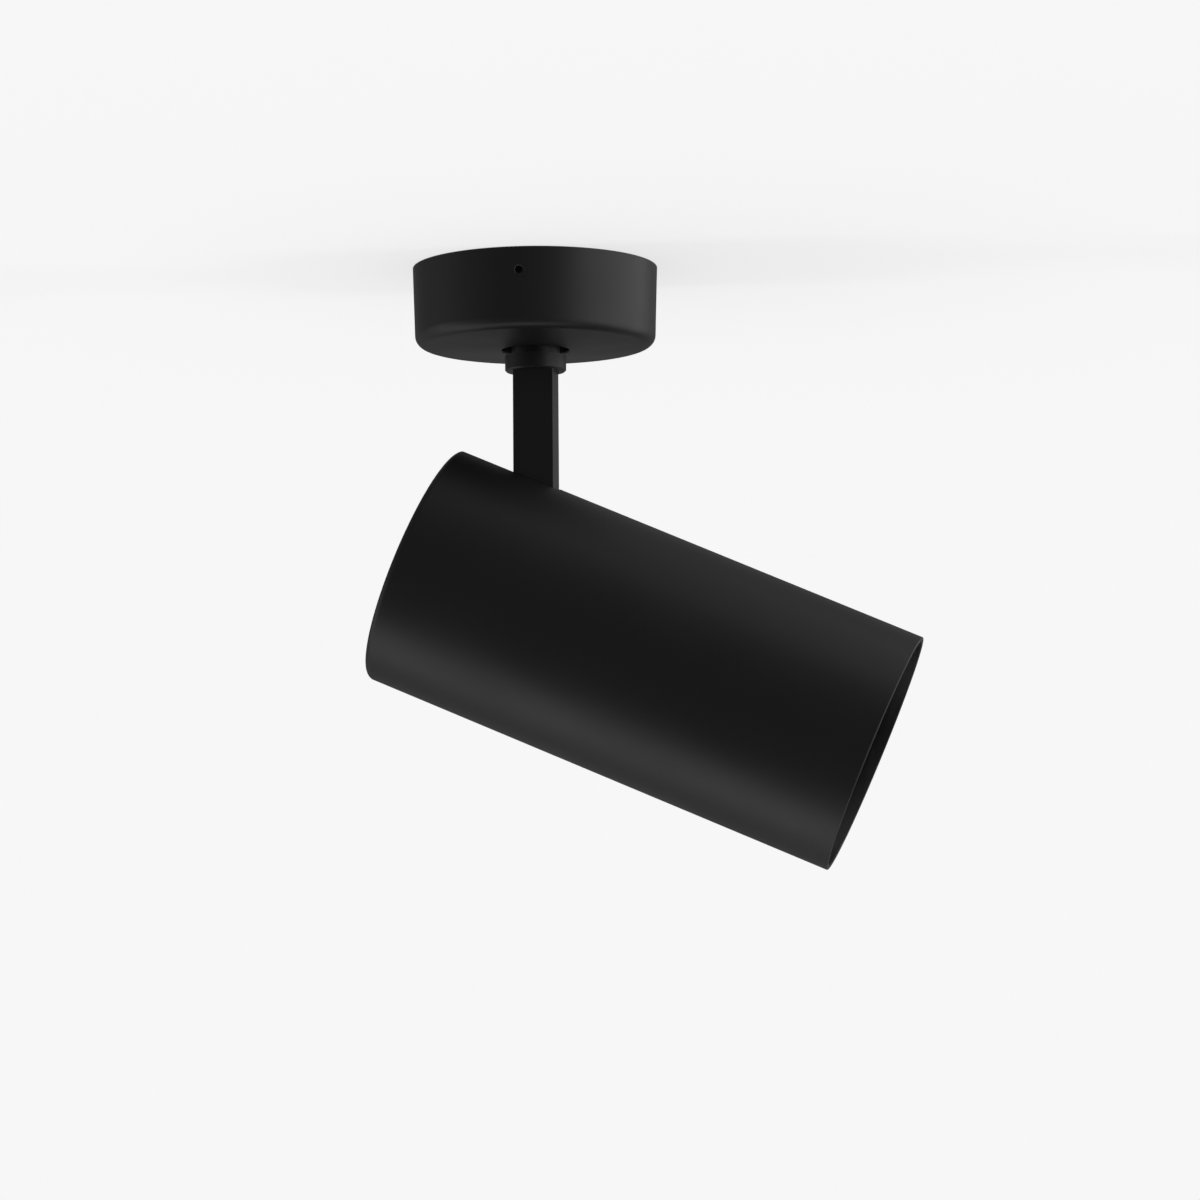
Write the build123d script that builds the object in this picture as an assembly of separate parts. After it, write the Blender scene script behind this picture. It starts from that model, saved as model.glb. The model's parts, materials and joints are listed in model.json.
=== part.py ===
"""Surface mounted ceiling spotlight: a round canopy, a short square arm and a long round lamp head.

Units are millimetres. The origin is the centre of the canopy's ceiling face, +Z is up, and the lamp
points towards +X. Everything hangs below Z = 0. The lamp head is drawn in its own frame, with X along
the tube towards the light, Z towards the slotted side and the origin on the tilt axis, and is then
turned down by the rest tilt.
"""
from build123d import *
from math import cos, radians, sin, tan
import os

# ---------------------------------------------------------------- driving dimensions
# pose and reach
rest_tilt = 23.3            # lamp axis below the horizontal, degrees
upper_stop_tilt = 22.0      # highest the lamp can be raised, degrees below the horizontal
pivot_drop = 140.8          # ceiling face to the tilt axis

# clearances
slip = 0.1                  # flat faces that slide or drop into each other
thread_gap = 0.05           # screw shank to its hole, on the radius
running_gap = 0.05          # turning shaft in its bush, on the radius
swing_gap = 1.0             # the arm to the slot that it swings in
stop_gap = 0.5              # the arm to the front end of the slot at the upper stop

# canopy
canopy_radius = 49.65
canopy_height = 31.7        # to the edge of its floor
canopy_crown = 2.1          # the middle of the floor below its edge
canopy_draft = 1.75         # degrees
canopy_fillet = 4.5
canopy_wall = 2.2
canopy_floor = 2.5
canopy_hole_radius = 13.75
canopy_hole_chamfer = 0.7   # from the level of the middle of the floor
grub_radius = 1.5
grub_length = 3.0
grub_depth = 9.2            # ceiling face to the grub screw axis
grub_recess = 1.6
grub_mouth = 0.3            # countersink of the holes in the canopy
grub_boss_radius = 4.0
grub_boss_gap = 0.3         # brackets to the bosses inside the canopy
grub_socket = 0.75          # corner radius of the hexagon socket

# ceiling plate
plate_thickness = 1.5
lug_depth = 14.0            # ceiling face to the foot of the brackets that the grub screws clamp
lug_half_width = 8.0
lug_gap = 1.8               # swivel bridge to the feet of the brackets
slot_spacing = 60.0
slot_half_width = 2.25
slot_length = 10.0
entry_x, entry_y = -22.0, 20.0
entry_radius = 4.0
grommet_wall = 1.6
grommet_lip = 2.0
grommet_lip_thickness = 1.2
earth_x, earth_y = -22.0, -20.0

# screws: shank radius, head radius, head height
m3 = (1.5, 2.75, 2.2)
m4 = (2.0, 3.9, 2.6)
screw_grip = 5.0            # thread inside the piece that a screw holds to
post_grip = 9.0             # the same, in the posts of the heat sink
tap_extra = 1.0             # threaded hole beyond the end of its screw
screw_tip = 1.0             # screw end beyond the sheet that it holds

# swivel bridge
bridge_width = 22.0
bridge_span = 48.0          # outside the legs
bridge_foot = 12.0
bridge_thickness = 2.0
bridge_depth = 20.0         # ceiling face to the underside of the bridge floor
bridge_screw_x = 6.0
stop_tab_width = 4.0
stop_tab_length = 7.0

# swivel hub and its stack
stem_radius = 5.0
stem_bore = 3.3
stem_top = 8.0              # ceiling face to the top of the stem
neck_radius = 9.75
flange_radius = 12.4
flange_height = 6.4
flange_gap = 2.0            # middle of the canopy floor to the flange
flange_chamfer = 0.6
bush_wall = 1.5
bush_flange_radius = 9.0
bush_flange = 1.0
washer_thickness = 1.0
washer_radius = 9.5
nut_height = 4.0
nut_across = 17.0
stop_pin_radius = 1.25
stop_pin_reach = 12.6       # from the swivel axis
stop_pin_grip = 2.6
stop_pin_drop = 3.5         # below the shoulder of the neck
stop_pin_edge = 0.3

# arm
arm_width = 16.4            # along X
arm_depth = 18.0            # along Y
arm_wall = 2.2
arm_edge = 0.5
spigot_length = 14.0
arm_screw_drop = 7.0        # below the flange
arm_screw_gap = 0.6         # screw end to the cable bore
end_block_length = 18.0     # above the tilt axis
mouth_half = 3.6            # cable mouth at the foot of the arm

# tilt pivot
shoulder_radius = 3.0
pivot_thread_radius = 2.5
pivot_thread_end = 3.9      # inner end of the thread, from the middle plane
pivot_head_radius = 5.2
pivot_head_height = 3.0
pivot_head_edge = 0.8
pivot_bush_wall = 1.5
pivot_bush_flange = 1.0
pivot_bush_flange_radius = 7.5
spring_washer_thickness = 0.8
pivot_socket = 2.3

# lamp tube
tube_radius = 50.0
tube_length = 201.0
tube_wall = 2.0
tube_rear_wall = 3.0
tube_rear_fillet = 2.5
tube_rim_edge = 0.35
rear_reach = 53.7           # tilt axis to the rear end
tube_slot_half = 11.0
tube_slot_corner = 2.0

# chassis in the lamp tube
sheet = 2.0
cheek_half_height = 16.0
chassis_base_half = 30.0
chassis_base_top = 26.0
chassis_base_bottom = 34.0
chassis_base_corner = 6.0
chassis_screw_y = 22.0
chassis_screws_z = (14.0, -24.0)
tab_half_height = 12.0
tab_corner = 3.0
tab_reach = 27.0
tab_screw_y = 21.0
tab_screw_z = 7.0

# driver
driver_gap = 6.8            # sweep of the arm's end to the driver
driver_length = 47.0
driver_height = 40.0
driver_edge = 1.5
driver_screws_x = (9.0, 38.0)   # from the driver's rear face
driver_front_gap = 2.0      # driver to the heat sink tabs

# heat sink and light engine
sink_gap = 0.4              # to the tube wall, on the radius
sink_disc = 8.0
sink_post = 18.0            # height of the two screw posts behind the disc
sink_fin_height = 16.0
sink_fin_thickness = 1.8
sink_fin_pitch = 7.0
sink_fin_count = 13
sink_fin_inset = 2.0        # fin tips inside the disc's edge
lead_radius = 0.9
lead_offset = 2.2
lead_height = 14.5
lead_grip = 2.0             # of a lead inside the driver's case
lead_hole_radius = 4.0
pad_thickness = 0.5
board_side = 24.0
board_thickness = 1.5
emitter_radius = 8.5
emitter_thickness = 0.6
holder_radius = 19.0
holder_thickness = 3.5
holder_window = 9.6
holder_edge = 0.8
holder_screw_offset = 15.2

# optics
sleeve_length = 37.0
sleeve_wall = 4.0
sleeve_rim_wall = 2.0
sleeve_flange_width = 13.6
sleeve_flange = 2.0
sleeve_screw_inset = 7.1    # sleeve bore to the screws' circle
reflector_wall = 1.0
reflector_rear_radius = 9.8
reflector_inset = 1.1       # sleeve bore to the reflector's mouth
reflector_rim = 1.2
gasket_thickness = 0.8
glass_thickness = 3.0
baffle_lip = 5.5            # glass edge to the inner edge of the lip
baffle_inset = 2.6          # sleeve to the baffle's mouth
baffle_front_edge = 1.5
baffle_length = 11.0
baffle_steps = 5
baffle_flange = 2.0

# terminal block and cables
block_gap = 0.3             # swivel bridge to the terminal block
block_y = 20.0
block_length, block_depth, block_height = 22.0, 12.0, 12.0
block_edge = 1.0
block_pitch = 7.0
block_hole_radius = 1.6
terminal_screw_length = 3.0
terminal_screw_sink = 0.2   # below the face of the block
terminal_slot = 0.6
cable_radius = 2.9
cable_gap = 0.3             # cable ends to the foot block and to the leads
core_radius = 0.75
core_spacing = 1.8
core_levels = (-6.1, -4.4, -2.7)
core_bend = 1.5
core_step = 9.0             # block to the start of the dip towards it
core_lead_in = 3.0
core_depth = 2.0            # inside the block
lamp_lead_radius = 2.6

# ---------------------------------------------------------------- worked-out places
flange_top = -(canopy_height + canopy_crown + flange_gap)
flange_bottom = flange_top - flange_height
shoulder_z = -(bridge_depth + bush_flange + slip)
washer_z = -bridge_depth + bridge_thickness + slip
nut_z = washer_z + 2 * washer_thickness
lug_face = canopy_radius - grub_depth * tan(radians(canopy_draft)) - grub_recess - grub_length
plate_radius = lug_face - plate_thickness
block_x = (bridge_width + block_length) / 2 + block_gap
rear_x = -rear_reach
front_x = tube_length - rear_reach
tube_bore = tube_radius - tube_wall
arm_half = arm_width / 2
cheek_inner = arm_depth / 2 + pivot_bush_flange + slip
cheek_outer = cheek_inner + sheet
rear_wall_x = rear_x + tube_rear_wall
slot_low = -(arm_half + swing_gap)
upper = radians(upper_stop_tilt)
slot_front = (arm_half - tube_bore * sin(upper)) / cos(upper) + stop_gap
driver_x = arm_half + driver_gap
driver_end = driver_x + driver_length
tab_x = driver_end + driver_front_gap
post_x = tab_x + sheet
disc_x = post_x + sink_post
light_x = disc_x + sink_disc
board_x = light_x + pad_thickness
holder_end = light_x + holder_thickness
sleeve_end = light_x + sleeve_length
sleeve_radius = tube_bore - sink_gap
sleeve_bore = sleeve_radius - sleeve_wall
sleeve_flange_bore = sleeve_bore - sleeve_flange_width
sleeve_screw_circle = sleeve_bore - sleeve_screw_inset
reflector_front_radius = sleeve_bore - reflector_inset
glass_radius = sleeve_radius - sleeve_rim_wall - slip
baffle_lip_radius = glass_radius - baffle_lip
baffle_front_radius = sleeve_radius - baffle_inset
glass_end = sleeve_end - 1.2 * slip
glass_x = glass_end - glass_thickness
gasket_x = glass_x - gasket_thickness
reflector_end = gasket_x

LOW = (Align.CENTER, Align.CENTER, Align.MIN)
head_place = Pos(0, 0, -pivot_drop) * Rot(0, rest_tilt, 0)
pivot_place = Pos(0, 0, -pivot_drop)


# ---------------------------------------------------------------- shapes used again and again
def rod_x(radius, start, end):
    return Pos(start, 0, 0) * Rot(0, 90, 0) * Cylinder(radius, end - start, align=LOW)


def rod_y(radius, start, end):
    return Pos(0, start, 0) * Rot(-90, 0, 0) * Cylinder(radius, end - start, align=LOW)


def rod_z(radius, start, end):
    return Pos(0, 0, start) * Cylinder(radius, end - start, align=LOW)


def ring_x(outer, inner, start, end):
    return rod_x(outer, start, end) - rod_x(inner, start, end)


def ring_z(outer, inner, start, end):
    return rod_z(outer, start, end) - rod_z(inner, start, end)


def block(x0, x1, y0, y1, z0, z1):
    """A box between two corners."""
    corner = (Align.MIN, Align.MIN, Align.MIN)
    return Pos(x0, y0, z0) * Box(x1 - x0, y1 - y0, z1 - z0, align=corner)


def turned(points, axis, rounds=()):
    """A solid of revolution from a half section in the XZ plane; rounds are ((x, z), radius)."""
    section = Plane.XZ * make_face(Polyline(*points, close=True))
    for (x, z), radius in rounds:
        corner = section.vertices().sort_by_distance((x, 0, z))[0]
        section = fillet(corner, radius)
    return revolve(section, axis)


def hexagon_z(across, start, end):
    """A hexagonal bar along Z, sized across its flats."""
    return Pos(0, 0, start) * extrude(RegularPolygon(across / 2, 6, major_radius=False), end - start)


def pan_screw(size, length):
    """A pan head screw: the shank runs down from Z = 0 and the head stands on Z = 0."""
    shank, head, height = size
    cap = rod_z(head, 0, height)
    cap = fillet(cap.edges().group_by(Axis.Z)[-1], height * 0.45)
    drive = hexagon_z(1.3 * shank, height * 0.4, height)
    return cap + rod_z(shank, -length, 0) - drive


def flat_screw(size, length):
    """A countersunk screw: flush with Z = 0, shank downwards, overall length given."""
    shank, head, _ = size
    cone = Pos(0, 0, -(head - shank)) * Cone(shank, head, head - shank, align=LOW)
    drive = hexagon_z(1.3 * shank, -0.6 * shank, 0)
    return cone + rod_z(shank, -length, 0) - drive


def flat_screw_hole(size, length):
    """The hole for a countersunk screw, with the thread gap all round."""
    shank, head, _ = size
    cone = Pos(0, 0, -(head - shank)) * Cone(shank, head, head - shank, align=LOW)
    mouth = rod_z(head + thread_gap, -thread_gap, thread_gap)
    return cone + mouth + rod_z(shank + thread_gap, -length, 0)


def both_sides(shape):
    """The shape and its mirror image across the XZ plane."""
    return shape + mirror(shape, Plane.XZ)


def save(name, shape, place=None):
    """Write one node, turned into place."""
    solid = place * shape if place is not None else shape
    solids = solid.solids()
    export_step(solids[0] if len(solids) == 1 else Compound(children=list(solids)), f"parts/{name}.step")


# ---------------------------------------------------------------- ceiling base
def canopy_section(inset, floor, top):
    """Half section of the canopy, moved in by a wall and up by a floor. The floor is crowned."""
    slope = tan(radians(canopy_draft))
    edge_z = -canopy_height + floor
    middle = (0, edge_z - canopy_crown)
    upper_radius = canopy_radius - inset
    edge = (upper_radius - (canopy_height - floor) * slope, edge_z)
    crown = TangentArc(middle, edge, tangent=(1, 0))
    rest = Polyline(edge, (upper_radius + top * slope, top), (0, top), middle)
    section = make_face([crown, rest])
    return fillet(section.vertices().sort_by_distance(edge)[0], canopy_fillet - inset)


def grub_spots():
    """Places of the grub screws, axis pointing inwards along local Z."""
    return [Pos(0, 0, -grub_depth) * Rot(0, 0, turn) * Rot(90, 0, 0) for turn in (0, 180)]


def make_canopy():
    outside = canopy_section(0, 0, 0)
    middle_z = -(canopy_height + canopy_crown)
    radius, sink = canopy_hole_radius, canopy_hole_chamfer
    hub_hole = Polyline((0, flange_top), (radius + sink, flange_top), (radius + sink, middle_z),
                        (radius, middle_z + sink), (radius, 0), (0, 0), close=True)
    section = outside - canopy_section(canopy_wall, canopy_floor, 1) - make_face(hub_hole)
    cup = revolve(Plane.XZ * section, Axis.Z)
    filled = revolve(Plane.XZ * outside, Axis.Z)
    hole = grub_radius + thread_gap
    mouth_end = lug_face + grub_length + grub_recess
    boss_end = lug_face + grub_boss_gap
    for spot in grub_spots():
        cup += filled & spot * rod_z(grub_boss_radius, boss_end, canopy_radius)
        cup -= spot * rod_z(hole, boss_end - 1, canopy_radius + 1)
        cup -= spot * Pos(0, 0, mouth_end) * Cone(hole, hole + 2 * grub_mouth, 2 * grub_mouth)
    return cup


def make_grub_screws():
    screw = rod_z(grub_radius, lug_face, lug_face + grub_length)
    tip = lug_face + grub_length
    screw -= Pos(0, 0, tip - grub_length / 2) * extrude(RegularPolygon(grub_socket, 6), grub_length)
    return Compound(children=[spot * screw for spot in grub_spots()])


def bridge_feet():
    """Places of the screws that hold the bridge to the ceiling plate."""
    foot_y = (bridge_span + bridge_foot) / 2
    return [(x, y) for x in (-bridge_screw_x, bridge_screw_x) for y in (-foot_y, foot_y)]


def make_ceiling_plate():
    plate = rod_z(plate_radius, -plate_thickness, 0)
    for side in (-1, 1):
        straight = slot_length - 2 * slot_half_width
        middle = side * slot_spacing / 2
        ends = (middle - straight / 2, middle + straight / 2)
        plate -= block(*ends, -slot_half_width, slot_half_width, -plate_thickness - 1, 1)
        for end in ends:
            plate -= Pos(end, 0, 0) * rod_z(slot_half_width, -plate_thickness - 1, 1)
    grommet_hole = rod_z(entry_radius + grommet_wall + thread_gap, -plate_thickness - 1, 1)
    plate -= Pos(entry_x, entry_y, 0) * grommet_hole
    threaded = [(x, y, m4[0]) for x, y in bridge_feet() + [(earth_x, earth_y)]]
    threaded += [(block_x - block_pitch / 2, block_y, m3[0])]
    for x, y, radius in threaded:
        plate -= Pos(x, y, 0) * rod_z(radius + thread_gap, -plate_thickness - 1, 1)
    return plate


def make_clamp_brackets():
    """Two angles welded under the plate, whose legs back the grub screws."""
    t = plate_thickness
    foot_start = bridge_span / 2 + bridge_foot + lug_gap
    foot = block(-lug_half_width, lug_half_width, foot_start, lug_face, -2 * t, -t)
    leg = block(-lug_half_width, lug_half_width, lug_face - t, lug_face, -lug_depth, -t)
    angle = foot + leg
    bend = angle.edges().filter_by(Axis.X).group_by(Axis.Z)[-1].sort_by(Axis.Y)[-1]
    return both_sides(fillet(bend, t))


def make_grommet():
    barrel = entry_radius + grommet_wall
    lip_low = -plate_thickness - grommet_lip_thickness
    lip = ring_z(barrel + grommet_lip, entry_radius, lip_low, -plate_thickness)
    body = ring_z(barrel, entry_radius, -plate_thickness, 0)
    return Pos(entry_x, entry_y, 0) * (lip + body)


def make_bridge():
    half_x, half_y = bridge_width / 2, bridge_span / 2
    t = bridge_thickness
    under_plate = -plate_thickness
    floor = block(-half_x, half_x, -half_y, half_y, -bridge_depth, -bridge_depth + t)
    leg = block(-half_x, half_x, half_y - t, half_y, -bridge_depth, under_plate)
    foot = block(-half_x, half_x, half_y - t, half_y + bridge_foot, under_plate - t, under_plate)
    strap = floor + both_sides(leg + foot)
    lowest = strap.edges().filter_by(Axis.X).group_by(Axis.Z)[0]
    strap = fillet(lowest, t)
    stop_x = half_x - t / 4
    strap += block(stop_x, stop_x + t, -stop_tab_width / 2, stop_tab_width / 2,
                   -bridge_depth - stop_tab_length, -bridge_depth + t)
    strap -= rod_z(stem_radius + running_gap + bush_wall, -bridge_depth - 1, -bridge_depth + t + 1)
    for x, y in bridge_feet():
        strap -= Pos(x, y, 0) * rod_z(m4[0] + thread_gap, under_plate - t - 1, 0)
    return strap


def make_bridge_screws():
    under_foot = -plate_thickness - bridge_thickness
    screw = Rot(180, 0, 0) * pan_screw(m4, plate_thickness + bridge_thickness - slip)
    return Compound(children=[Pos(x, y, under_foot) * screw for x, y in bridge_feet()])


def make_swivel_bush():
    bore = stem_radius + running_gap
    barrel = ring_z(bore + bush_wall, bore, -bridge_depth, -bridge_depth + bridge_thickness)
    flange = ring_z(bush_flange_radius, bore, -bridge_depth - bush_flange, -bridge_depth)
    return barrel + flange


def make_friction_washer():
    low = -bridge_depth + bridge_thickness
    return ring_z(washer_radius, stem_radius + running_gap, low, low + washer_thickness)


def block_stations():
    """X of each pole of the terminal block."""
    return [block_x + (i - 1) * block_pitch for i in range(3)]


def make_terminal_block():
    top = -plate_thickness
    low = top - block_height
    x0, y0 = block_x - block_length / 2, block_y - block_depth / 2
    body = block(x0, x0 + block_length, y0, y0 + block_depth, low, top)
    body = fillet(body.edges().filter_by(Axis.Z), block_edge)
    for x in block_stations():
        body -= Pos(x, 0, low / 2 - 1) * rod_y(block_hole_radius, y0 - 1, y0 + block_depth + 1)
        for side in (-1, 1):
            screw_y = block_y + side * block_depth / 4
            body -= Pos(x, screw_y, 0) * rod_z(block_hole_radius, low - 1, low / 2 - 1)
    body -= Pos(block_x - block_pitch / 2, block_y, 0) * rod_z(m3[0] + thread_gap, low - 1, top + 1)
    return body


def make_terminal_screws():
    low = -plate_thickness - block_height
    length = terminal_screw_length
    screw = Rot(180, 0, 0) * rod_z(block_hole_radius - thread_gap, 0, length)
    slot = block(-length, length, -terminal_slot / 2, terminal_slot / 2, -length, terminal_slot - length)
    places = [(x, block_y + side * block_depth / 4) for x in block_stations() for side in (-1, 1)]
    level = low + length + terminal_screw_sink
    return Compound(children=[Pos(x, y, level) * (screw - slot) for x, y in places])


def make_block_screw():
    low = -plate_thickness - block_height
    screw = Rot(180, 0, 0) * pan_screw(m3, block_height + plate_thickness - slip)
    return Pos(block_x - block_pitch / 2, block_y, low) * screw


def make_earth_screw():
    screw = Rot(180, 0, 0) * pan_screw(m4, plate_thickness - slip)
    return Pos(earth_x, earth_y, -plate_thickness) * screw


# ---------------------------------------------------------------- swivel and arm
def make_hub():
    hub = rod_z(flange_radius, flange_bottom, flange_top)
    hub = chamfer(hub.edges().group_by(Axis.Z)[0], flange_chamfer)
    hub += rod_z(neck_radius, flange_top, shoulder_z)
    hub += rod_z(stem_radius, shoulder_z, -stem_top)
    spigot = block(-arm_half + arm_wall + slip, arm_half - arm_wall - slip,
                   -arm_depth / 2 + arm_wall + slip, arm_depth / 2 - arm_wall - slip,
                   flange_bottom - spigot_length, flange_bottom)
    hub += spigot
    hub -= rod_z(stem_bore, flange_bottom - spigot_length - 1, 0)
    hub -= Pos(0, 0, shoulder_z - stop_pin_drop) * Rot(0, -90, 0) * rod_z(
        stop_pin_radius + thread_gap, neck_radius - stop_pin_grip, flange_radius)
    return hub - arm_screw_place() * flat_screw_hole(m3, arm_screw_length())


def make_stop_pin():
    pin = rod_z(stop_pin_radius, neck_radius - stop_pin_grip, stop_pin_reach)
    pin = chamfer(pin.edges().group_by(Axis.Z)[-1], stop_pin_edge)
    return Pos(0, 0, shoulder_z - stop_pin_drop) * Rot(0, -90, 0) * pin


def make_wave_washer():
    low = washer_z + washer_thickness
    return ring_z(washer_radius - 1, stem_radius + running_gap, low, low + washer_thickness)


def make_nut(level):
    nut = hexagon_z(nut_across, level, level + nut_height)
    nut &= Pos(0, 0, level) * Cylinder(nut_across * 0.56, nut_height, align=LOW)
    return nut - rod_z(stem_radius + thread_gap, level - 1, level + nut_height + 1)


def arm_screw_length():
    return arm_depth / 2 - stem_bore - arm_screw_gap


def arm_screw_place():
    return Pos(0, arm_depth / 2, flange_bottom - arm_screw_drop) * Rot(-90, 0, 0)


def foot_shape(half_x, half_y, top, end_radius):
    """A bar along Z with a round end about the tilt axis, in the pivot's frame."""
    return block(-half_x, half_x, -half_y, half_y, 0, top) + rod_y(end_radius, -half_y, half_y)


def cable_mouth():
    return block(-mouth_half, arm_half + 1, -mouth_half, mouth_half, -arm_half - 1, mouth_half)


def pivot_holes(radius):
    return rod_y(radius, -arm_depth, arm_depth)


def make_arm_bar():
    top = pivot_drop + flange_bottom
    bar = foot_shape(arm_half, arm_depth / 2, top, arm_half)
    bar = fillet(bar.edges().filter_by(Axis.Z), arm_edge)
    bar -= block(-arm_half + arm_wall, arm_half - arm_wall, -arm_depth / 2 + arm_wall,
                 arm_depth / 2 - arm_wall, -arm_half - 1, top + 1)
    bar -= cable_mouth() + pivot_holes(pivot_thread_radius + thread_gap)
    bar = pivot_place * bar
    return bar - arm_screw_place() * flat_screw_hole(m3, arm_screw_length())


def make_end_block():
    body = foot_shape(arm_half - arm_wall - slip, arm_depth / 2 - arm_wall - slip,
                      end_block_length, arm_half - arm_wall - slip)
    body -= rod_z(stem_bore, 0, end_block_length + 1)
    return body - cable_mouth() - pivot_holes(pivot_thread_radius + thread_gap)


def make_pivot_screws():
    head_low = cheek_outer + spring_washer_thickness + 2 * slip
    screw = rod_z(pivot_thread_radius, pivot_thread_end, arm_depth / 2)
    screw += rod_z(shoulder_radius, arm_depth / 2, head_low)
    head = rod_z(pivot_head_radius, head_low, head_low + pivot_head_height)
    head = fillet(head.edges().group_by(Axis.Z)[-1], pivot_head_edge)
    drive = extrude(RegularPolygon(pivot_socket, 6), pivot_head_height)
    socket = Pos(0, 0, head_low + pivot_head_height * 0.4) * drive
    screw = Rot(-90, 0, 0) * (screw + head - socket)
    return both_sides(screw)


def make_spring_washers():
    low = cheek_outer + slip
    washer = ring_z(pivot_head_radius, shoulder_radius + thread_gap, low, low + spring_washer_thickness)
    return both_sides(Rot(-90, 0, 0) * washer)


def make_supply_cable():
    return rod_z(cable_radius, -pivot_drop + cable_radius + cable_gap, -stem_top - cable_gap)


def make_canopy_leads():
    """Three cores from the terminal block, down into the top of the stem."""
    entry = block_y - block_depth / 2
    entry_level = (-plate_thickness - block_height) / 2 - 1
    cores = []
    for i, (x, level) in enumerate(zip(block_stations(), core_levels)):
        end_x = (1 - i) * core_spacing
        route = FilletPolyline((end_x, 0, -stem_top - slip), (end_x, 0, level), (x, entry - core_step, level),
                               (x, entry - core_lead_in, entry_level), (x, entry + core_depth, entry_level),
                               radius=core_bend)
        start = Plane(origin=route @ 0, z_dir=route % 0)
        cores.append(sweep(start * Circle(core_radius), path=route))
    return Compound(children=[core.solid() for core in cores])


# ---------------------------------------------------------------- lamp head, in its own frame
def chassis_spots():
    """Y and Z of the screws through the rear wall."""
    return [(side * chassis_screw_y, z) for side in (-1, 1) for z in chassis_screws_z]


def slot_cut(half_width, corner):
    """The gap that the arm swings through: open at the top and at the rear."""
    cut = block(rear_x - 9, slot_front, -half_width, half_width, slot_low, tube_radius + 9)
    if corner:
        cut = fillet(cut.edges().filter_by(Axis.Z).group_by(Axis.X)[-1], corner)
        cut = fillet(cut.edges().filter_by(Axis.X).group_by(Axis.Z)[0], corner)
    return cut


def make_lamp_tube():
    section = [(rear_x, 0), (rear_x, tube_radius), (front_x, tube_radius), (front_x, tube_bore),
               (rear_wall_x, tube_bore), (rear_wall_x, 0)]
    rounds = [((rear_x, tube_radius), tube_rear_fillet),
              ((rear_wall_x, tube_bore), tube_rear_fillet - tube_wall),
              ((front_x, tube_radius), tube_rim_edge),
              ((front_x, tube_bore), tube_rim_edge)]
    tube = turned(section, Axis.X, rounds)
    tube -= slot_cut(tube_slot_half, tube_slot_corner)
    for y, z in chassis_spots():
        tube -= Pos(rear_x, y, z) * Rot(0, -90, 0) * flat_screw_hole(m4, tube_rear_wall + 1)
    return tube


def make_chassis():
    x0, x1 = rear_wall_x, rear_wall_x + sheet
    base = block(x0, x1, -chassis_base_half, chassis_base_half, -chassis_base_bottom, chassis_base_top)
    base = fillet(base.edges().filter_by(Axis.X), chassis_base_corner)
    base -= block(x0 - 1, x1 + 1, -cheek_inner, cheek_inner, slot_low, chassis_base_top + 1)
    cheek = block(x0, post_x, cheek_inner, cheek_outer, -cheek_half_height, cheek_half_height)
    tab = block(tab_x, post_x, cheek_inner, tab_reach, -tab_half_height, tab_half_height)
    side = cheek + fillet(tab.edges().filter_by(Axis.X).group_by(Axis.Y)[-1], tab_corner)
    side -= rod_y(shoulder_radius + running_gap + pivot_bush_wall, 0, cheek_outer + 1)
    for z in (-tab_screw_z, tab_screw_z):
        side -= Pos(0, tab_screw_y, z) * rod_x(m3[0] + thread_gap, tab_x - 1, post_x + 1)
    frame = base + both_sides(side)
    for y, z in chassis_spots():
        frame -= Pos(0, y, z) * rod_x(m4[0] + thread_gap, x0 - 1, x1 + 1)
    for x in driver_screws_x:
        frame -= Pos(driver_x + x, 0, 0) * rod_y(m3[0] + thread_gap, -cheek_outer - 1, -cheek_inner + 1)
    return frame


def make_chassis_screws():
    screw = Rot(0, -90, 0) * flat_screw(m4, tube_rear_wall + sheet + screw_tip)
    return Compound(children=[Pos(rear_x, y, z) * screw for y, z in chassis_spots()])


def make_pivot_bush():
    bore = shoulder_radius + running_gap
    barrel = ring_z(bore + pivot_bush_wall, bore, cheek_inner, cheek_outer)
    flange = ring_z(pivot_bush_flange_radius, bore, cheek_inner - pivot_bush_flange, cheek_inner)
    return Rot(-90, 0, 0) * (barrel + flange)


def make_driver():
    half_y, half_z = cheek_inner - slip, driver_height / 2
    case = block(driver_x, driver_end, -half_y, half_y, -half_z, half_z)
    case = fillet(case.edges(), driver_edge)
    case -= rod_x(lamp_lead_radius + thread_gap, driver_x - 1, driver_x + lead_grip)
    for x in driver_screws_x:
        tapped = rod_y(m3[0] + thread_gap, -half_y - 1, -half_y + screw_grip + tap_extra)
        case -= Pos(driver_x + x, 0, 0) * tapped
    for side in (-1, 1):
        lead_hole = rod_x(lead_radius + thread_gap, driver_end - lead_grip, driver_end + 1)
        case -= Pos(0, side * lead_offset, lead_height) * lead_hole
    return case


def make_driver_screws():
    screw = Rot(90, 0, 0) * pan_screw(m3, sheet + screw_grip)
    return Compound(children=[Pos(driver_x + x, -cheek_outer, 0) * screw for x in driver_screws_x])


def make_lamp_lead():
    return rod_x(lamp_lead_radius, 0, driver_x + lead_grip) + Sphere(lamp_lead_radius)


def make_led_leads():
    wire = rod_x(lead_radius, driver_end - lead_grip, light_x)
    return Compound(children=[Pos(0, side * lead_offset, lead_height) * wire for side in (-1, 1)])


def post_spots():
    """Y and Z of the screws that join the chassis and the heat sink."""
    return [(side * tab_screw_y, z) for side in (-1, 1) for z in (-tab_screw_z, tab_screw_z)]


def sleeve_spots():
    """Turn of each screw that holds the optic sleeve."""
    return [Rot(turn, 0, 0) * Pos(0, 0, sleeve_screw_circle) for turn in (60, 180, 300)]


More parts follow.
